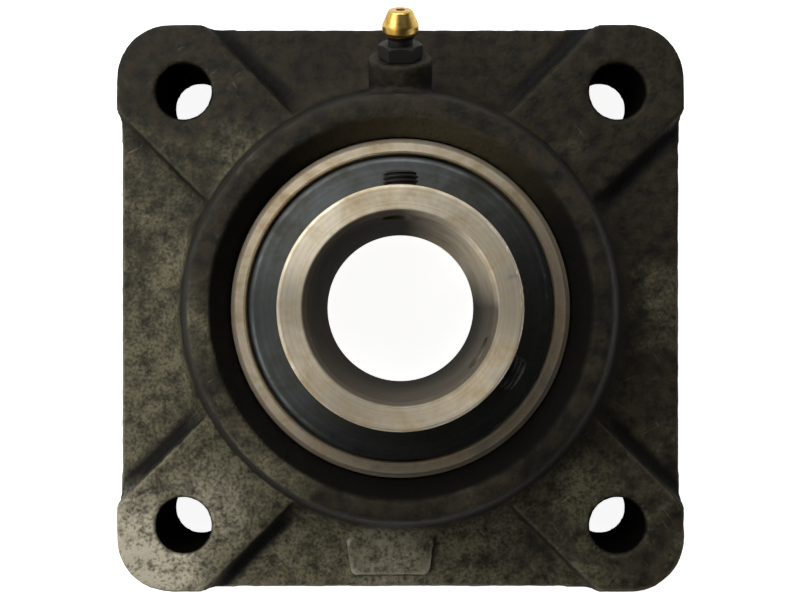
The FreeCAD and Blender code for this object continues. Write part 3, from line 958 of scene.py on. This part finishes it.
def copy_of(source: Piece, name: str) -> Piece:
    """Copies a piece with a mesh of its own.

    Args:
        source: The piece that is copied.
        name: The copy's name.

    Returns:
        The copy.
    """
    piece = bpy.data.objects.new(name, source.data.copy())
    bpy.context.scene.collection.objects.link(piece)
    return piece


def apply_modifier(piece: Piece, kind: str, settings: Settings) -> None:
    """Adds one modifier and applies it to the mesh.

    Args:
        piece: The mesh object.
        kind: The modifier's type.
        settings: Values by the modifier's property name.
    """
    pick(piece)
    modifier = piece.modifiers.new(kind.lower(), kind)
    for key, value in settings.items():
        setattr(modifier, key, value)
    bpy.ops.object.modifier_apply(modifier=modifier.name)


def chain(name: str, points: Sequence[tuple[float, float]]) -> Piece:
    """Draws an open profile in the XZ plane by extruding one vertex from point to point.

    Args:
        name: The object's name.
        points: Radius and height of each point, in millimetres.

    Returns:
        The object, its mesh one chain of edges.
    """
    deselect_all()
    start = points[0]
    bpy.ops.mesh.primitive_plane_add(size=MM, location=(start[0] * MM, 0, start[1] * MM))
    piece = bpy.context.object
    piece.name = name
    piece.data.name = name
    settle()
    with editing():
        bpy.ops.mesh.merge(type="CENTER")
        for before, after in zip(points, points[1:]):
            step = ((after[0] - before[0]) * MM, 0.0, (after[1] - before[1]) * MM)
            bpy.ops.mesh.extrude_region_move(TRANSFORM_OT_translate={"value": step})
    return piece


def tidy(piece: Piece, merge: float = 0.001) -> None:
    """Merges doubles and turns every face outwards.

    Args:
        piece: The mesh object.
        merge: Distance under which points are one, in millimetres.
    """
    pick(piece)
    with editing():
        bpy.ops.mesh.remove_doubles(threshold=merge * MM)
        bpy.ops.mesh.normals_make_consistent(inside=False)


def lathe(name: str, points: Sequence[tuple[float, float]], steps: int) -> Piece:
    """Turns a closed solid about the Z axis from a profile that starts and ends on the axis.

    Args:
        name: The object's name.
        points: Radius and height of each corner, in millimetres.
        steps: Facets round the axis.

    Returns:
        The turned solid.
    """
    piece = chain(name, points)
    with editing():
        bpy.ops.mesh.spin(steps=steps, angle=math.tau, center=(0, 0, 0), axis=(0, 0, 1))
    tidy(piece)
    return piece


# A thread's depth over its pitch, and its tooth: where along one pitch each corner stands, and
# whether that corner is on the crest.
THREAD_DEPTH = 0.61
TOOTH = ((0.0, False), (0.4, True), (0.55, True), (0.95, False))


def threaded_rod(
    name: str, major: float, pitch: float, low: float, high: float, steps: int
) -> Piece:
    """A rod with a real helical thread, cut flat at both ends.

    Args:
        name: The object's name.
        major: Outer radius in millimetres.
        pitch: Advance of the thread in one turn, in millimetres.
        low: Height of the lower end in millimetres.
        high: Height of the upper end in millimetres.
        steps: Facets in one turn.

    Returns:
        The closed rod.
    """
    minor = major - THREAD_DEPTH * pitch
    teeth = math.ceil((high - low) / pitch) + 3
    points = []
    for tooth in range(teeth):
        foot = low + (tooth - 2) * pitch
        points += [(major if crest else minor, foot + along * pitch) for along, crest in TOOTH]
    piece = chain(name, points)
    turn = {"axis": "Z", "angle": math.tau, "screw_offset": pitch * MM}
    apply_modifier(piece, "SCREW", {**turn, "steps": steps, "render_steps": steps})
    tidy(piece, 0.004)
    for height, side in ((low, 1), (high, -1)):
        plane = {"plane_co": (0, 0, height * MM), "plane_no": (0, 0, side)}
        with editing():
            bpy.ops.mesh.bisect(**plane, use_fill=True, clear_inner=True)
    tidy(piece, 0.0005)
    return piece


def cut(piece: Piece, tool: Piece, way: Cut) -> None:
    """Shapes a piece with a tool body, and deletes the tool."""
    apply_modifier(piece, "BOOLEAN", {"object": tool, "operation": way.value, "solver": "EXACT"})
    bpy.data.objects.remove(tool)


def hexagon(name: str, across_flats: float, low: float, high: float) -> Piece:
    """A hexagonal bar on the Z axis.

    Args:
        name: The object's name.
        across_flats: Width over two flats in millimetres.
        low: Height of the lower end in millimetres.
        high: Height of the upper end in millimetres.

    Returns:
        The bar.
    """
    deselect_all()
    bpy.ops.mesh.primitive_cylinder_add(
        vertices=6,
        radius=across_flats / math.sqrt(3) * MM,
        depth=(high - low) * MM,
        location=(0, 0, (low + high) / 2 * MM),
    )
    piece = bpy.context.object
    piece.name = name
    settle()
    return piece


def carry(piece: Piece, place: Matrix) -> None:
    """Takes a piece modelled at the origin to its place and leaves that place in its mesh.

    Args:
        piece: The mesh object.
        place: Where it goes.
    """
    pick(piece)
    piece.matrix_world = place
    settle()


def smooth(piece: Piece, degrees: float) -> None:
    """Shades a piece smooth, with edges sharper than an angle kept."""
    pick(piece)
    bpy.ops.object.shade_smooth_by_angle(angle=math.radians(degrees))


def report(piece: Piece) -> None:
    """Logs a finished piece and its faces."""
    LOG.info("%s: %d faces", piece.name, len(piece.data.polygons))


@dataclass
class CastHousing:
    """The iron casting: its sand-cast skin, machined seat, back face and holes."""

    voxel: float = 0.7
    swell_size: float = 4.5
    swell_depth: float = 0.2
    grain_size: float = 1.3
    grain_depth: float = 0.14
    skin: str = "sand_cast_skin"
    seat_margin: float = 0.3
    back_margin: float = 0.3
    bolt_hole: float = 10.5
    hole_margin: float = 0.2
    # The bolt holes' walls get the enamel without sheen, as painted shade.
    shaded_wall_margin: float = 0.25
    shaded_wall_height: float = 0.5
    crease: float = 50.0

    def build(self) -> None:
        """Models the casting over its CAD shape."""
        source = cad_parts["housing"]
        piece = copy_of(source, "housing_casting")
        tidy(piece)
        apply_modifier(piece, "REMESH", {"mode": "VOXEL", "voxel_size": self.voxel * MM})
        onto = {"target": source, "wrap_method": "NEAREST_SURFACEPOINT"}
        apply_modifier(piece, "SHRINKWRAP", onto)
        group = piece.vertex_groups.new(name=self.skin)
        group.add(list(self.cast_points(piece)), 1.0, "REPLACE")
        self.roughen(piece, "cast_swell", self.swell_size, self.swell_depth)
        self.roughen(piece, "sand_grain", self.grain_size, self.grain_depth)
        piece.vertex_groups.clear()
        smooth(piece, self.crease)
        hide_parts("housing")
        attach(piece, "cast_housing")
        CASTING.dress(piece)
        # The bolt holes' walls get the enamel without sheen: painted shade.
        piece.data.materials.append(SHADED_HOLE_ENAMEL.material())
        for face in self.drilled_faces(piece):
            face.material_index = 1
        report(piece)

    def from_bolt(self, spot: Vector) -> float:
        """How far a place is from the axis of the nearest bolt hole, in metres."""
        return math.hypot(abs(spot.x) - BOLT_OFFSET * MM, abs(spot.y) - BOLT_OFFSET * MM)

    def drilled_faces(self, piece: Piece) -> Iterable[bpy.types.MeshPolygon]:
        """Finds the walls of the bolt holes.

        Args:
            piece: The finished casting.

        Yields:
            Each face of such a wall.
        """
        hole = (self.bolt_hole / 2 + self.shaded_wall_margin) * MM
        for face in piece.data.polygons:
            if self.from_bolt(face.center) < hole and face.center.z > self.shaded_wall_height * MM:
                yield face

    def cast_points(self, piece: Piece) -> Iterable[int]:
        """Finds the points of the unmachined skin.

        Args:
            piece: The remeshed casting.

        Yields:
            The index of each point that the sand shaped.
        """
        centre = Vector((0, 0, SEAT_CENTRE * MM))
        hole = (self.bolt_hole / 2 + self.hole_margin) * MM
        for vertex in piece.data.vertices:
            spot = vertex.co
            in_seat = (spot - centre).length < (SEAT_RADIUS + self.seat_margin) * MM
            if spot.z > self.back_margin * MM and not in_seat and self.from_bolt(spot) >= hole:
                yield vertex.index

    def roughen(self, piece: Piece, name: str, size: float, depth: float) -> None:
        """Presses a cloud pattern into the sand-cast skin, inwards only.

        Args:
            piece: The casting, with its skin in a vertex group.
            name: Name of the pattern.
            size: Width of its features in millimetres.
            depth: Greatest depth in millimetres.
        """
        clouds = bpy.data.textures.new(name, "CLOUDS")
        clouds.noise_scale = size * MM
        clouds.noise_depth = 2
        pressed = {
            "texture": clouds,
            "texture_coords": "LOCAL",
            "strength": depth * MM,
            "mid_level": 1.0,
            "vertex_group": self.skin,
        }
        apply_modifier(piece, "DISPLACE", pressed)


@dataclass
class SetScrews:
    """The two cup-point set screws in the nose of the inner ring."""

    turn_steps: int = 64
    thread_steps: int = 40
    spare: float = 0.2
    crease: float = 35.0
    major: float = 2.96
    pitch: float = 0.75
    length: float = 6.0
    cup: float = 1.7
    cup_depth: float = 0.8
    bevel: float = 0.5
    key: float = 3.0
    key_depth: float = 2.6
    inner_end: float = 16.4
    height: float = 35.2
    angles: tuple[float, float] = (90.0, -30.0)

    def model(self) -> Piece:
        """Models one screw, upright with its cup at the origin.

        Returns:
            The screw.
        """
        low, high = -self.spare, self.length + self.spare
        screw = threaded_rod("set_screw_1", self.major, self.pitch, low, high, self.thread_steps)
        profile = [
            (0, self.cup_depth),
            (self.cup, 0),
            (self.major - self.bevel, 0),
            (self.major + 0.1, self.bevel + 0.1),
            (self.major + 0.1, self.length - self.bevel - 0.1),
            (self.major - self.bevel, self.length),
            (0, self.length),
        ]
        cut(screw, lathe("screw_blank", profile, self.turn_steps), Cut.KEEP_SHARED)
        key = hexagon("key", self.key, self.length - self.key_depth, self.length + 1)
        cut(screw, key, Cut.TAKE_AWAY)
        return screw

    def build(self) -> None:
        """Models one screw, copies it, and sets both into the ring."""
        screw = self.model()
        inner = Matrix.Translation((self.inner_end * MM, 0, self.height * MM))
        laid = Matrix.Rotation(math.pi / 2, 4, "Y")
        for piece, angle in zip((screw, copy_of(screw, "set_screw_2")), self.angles):
            carry(piece, Matrix.Rotation(math.radians(angle), 4, "Z") @ inner @ laid)
            smooth(piece, self.crease)
            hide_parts("set_screws")
            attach(piece, "inner_race")
            BLACK_OXIDE.dress(piece)
            report(piece)


@dataclass
class BearingInsert:
    """The rings, balls, cage, seals and flingers, whose CAD shapes stay."""

    balls: int = 9

    def finishes(self) -> dict[str, Finish]:
        """Which finish each node of the insert gets.

        Returns:
            The finish by node name.
        """
        found: dict[str, Finish] = {
            "inner_ring": INNER_RING_STEEL,
            "outer_ring": OUTER_RING_STEEL,
            "flinger_front": SLATE_COAT,
            "flinger_rear": SLATE_COAT,
            "cage_rivets": CAGE_STEEL,
        }
        for side in ("front", "rear"):
            found[f"seal_{side}_plate"] = PLATE_STEEL
            found[f"seal_{side}_lip"] = RUBBER
            found[f"cage_{side}"] = CAGE_STEEL
        for number in range(1, self.balls + 1):
            found[f"ball_{number}"] = BALL_STEEL
        return found

    def build(self) -> None:
        """Dresses each node of the insert."""
        for node, finish in self.finishes().items():
            finish.dress(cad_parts[node])
            LOG.info("%s: %s", node, finish.name)


@dataclass
class GreaseNipple:
    """The angled brass nipple with its check ball and spring."""

    tilt: float = NIPPLE_TILT
    seat: Point = NIPPLE_SEAT
    spring_foot: float = -4.6
    spring_length: float = 10.32
    ball_travel: float = 0.8
    crease: float = 40.0

    def spring(self) -> Piece:
        """Makes the coil spring a piece of its own on the housing, with a mesh of its own.

        Returns:
            The spring.
        """
        piece = copy_of(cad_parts["nipple_spring"], "check_spring")
        tidy(piece)
        smooth(piece, self.crease)
        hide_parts("nipple_spring")
        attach(piece, "cast_housing")
        SPRING_WIRE.dress(piece)
        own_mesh(piece)
        return piece

    def build(self) -> None:
        """Dresses the nipple and its ball, and makes its spring."""
        BRASS.dress(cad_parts["grease_nipple"])
        BALL_STEEL.dress(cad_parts["nipple_ball"])
        report(self.spring())


@dataclass(frozen=True)
class SoftLight:
    """One square soft light that looks at the unit.

    It stands at an azimuth from +X towards +Y and an elevation above the floor, in degrees. Its
    power is in watts.
    """

    name: str
    azimuth: float
    elevation: float
    side: float
    power: float
    distance: float = 420.0
    aim_height: float = 15.0

    def hang(self) -> None:
        """Puts the light in the scene."""
        light = bpy.data.lights.new(self.name, "AREA")
        light.shape = "SQUARE"
        light.size = self.side * MM
        light.energy = self.power
        around = math.radians(self.azimuth)
        up = math.radians(self.elevation)
        level = math.cos(up)
        towards = Vector((math.cos(around) * level, math.sin(around) * level, math.sin(up)))
        lamp = bpy.data.objects.new(self.name, light)
        bpy.context.scene.collection.objects.link(lamp)
        lamp.location = towards * self.distance * MM + Vector((0, 0, self.aim_height * MM))
        lamp.rotation_euler = towards.to_track_quat("Z", "Y").to_euler()


@dataclass
class Studio:
    """A white paper floor, soft lights, and a camera straight above the unit."""

    camera_height: float = 163.9
    focal_length: float = 35.145
    sensor_width: float = 36.0
    clip_near: float = 10.0
    clip_far: float = 20000.0
    shift_across: float = -0.0005
    shift_up: float = 0.0103
    floor_side: float = 4000.0
    floor_drop: float = 0.02
    white_below: Ramp = (0.05, 0.45, 1.0, 0.0)
    ceiling: str = "#202020"
    walls: str = "#383838"
    lights: tuple[SoftLight, ...] = (
        SoftLight("key", azimuth=142, elevation=42, side=260, power=1.05),
        SoftLight("upper", azimuth=100, elevation=42, side=220, power=0.54),
        SoftLight("side", azimuth=206, elevation=42, side=220, power=0.5),
        SoftLight("right", azimuth=66, elevation=48, side=220, power=0.3),
    )

    def floor(self) -> None:
        """Lays the paper floor under the unit."""
        deselect_all()
        bpy.ops.mesh.primitive_grid_add(
            x_subdivisions=4,
            y_subdivisions=4,
            size=self.floor_side * MM,
            location=(0, 0, -self.floor_drop * MM),
        )
        paper = bpy.context.object
        paper.name = "floor"
        settle()
        StudioPaper().dress(paper)

    def surroundings(self) -> None:
        """A white surrounding to the camera and to mirrors near the floor, and a dim ceiling."""
        world = bpy.data.worlds.new("studio")
        bpy.context.scene.world = world
        world.use_nodes = True
        tree = world.node_tree
        tree.nodes.clear()
        towards = add(tree, Node.PLACE, result="Generated")
        height = add(tree, Node.SPLIT, {}, {0: towards}, "Z")
        low = add(tree, Node.RANGE, ends(self.white_below, soft=True), {0: height})
        mirrored = add(tree, Node.TIMES, {}, {0: seen_rays(tree), 1: low})
        camera = add(tree, Node.RAY, result="Is Camera Ray")
        shown = add(tree, Node.HIGHER, {}, {0: mirrored, 1: camera})
        greys = {"data_type": "RGBA", 6: linear(self.ceiling), 7: linear(self.walls)}
        fill = add(tree, Node.MIX, greys, {0: low}, 2)
        white = {"data_type": "RGBA", 7: linear("#ffffff")}
        colour = add(tree, Node.MIX, white, {0: shown, 6: fill}, 2)
        light = add(tree, Node.BACKGROUND, {"Strength": 1.0}, {"Color": colour})
        add(tree, Node.WORLD, links={"Surface": light})

    def camera(self) -> None:
        """Hangs the camera on the shaft's axis, looking straight down."""
        lens = bpy.data.cameras.new("camera")
        lens.lens = self.focal_length
        lens.sensor_width = self.sensor_width
        lens.sensor_fit = "HORIZONTAL"
        lens.shift_x = self.shift_across
        lens.shift_y = self.shift_up
        lens.clip_start = self.clip_near * MM
        lens.clip_end = self.clip_far * MM
        camera = bpy.data.objects.new("camera", lens)
        bpy.context.scene.collection.objects.link(camera)
        camera.location = (0, 0, self.camera_height * MM)
        bpy.context.scene.camera = camera

    def build(self) -> None:
        """Sets up the floor, the lights, the surroundings and the camera."""
        self.floor()
        for light in self.lights:
            light.hang()
        self.surroundings()
        self.camera()
        bpy.context.scene.view_settings.view_transform = "Standard"


def main() -> None:
    """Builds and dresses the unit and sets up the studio."""
    logging.basicConfig(level=logging.INFO, format="%(message)s")
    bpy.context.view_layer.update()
    CastHousing().build()
    BearingInsert().build()
    SetScrews().build()
    GreaseNipple().build()
    Studio().build()


if __name__ == "__main__":
    main()
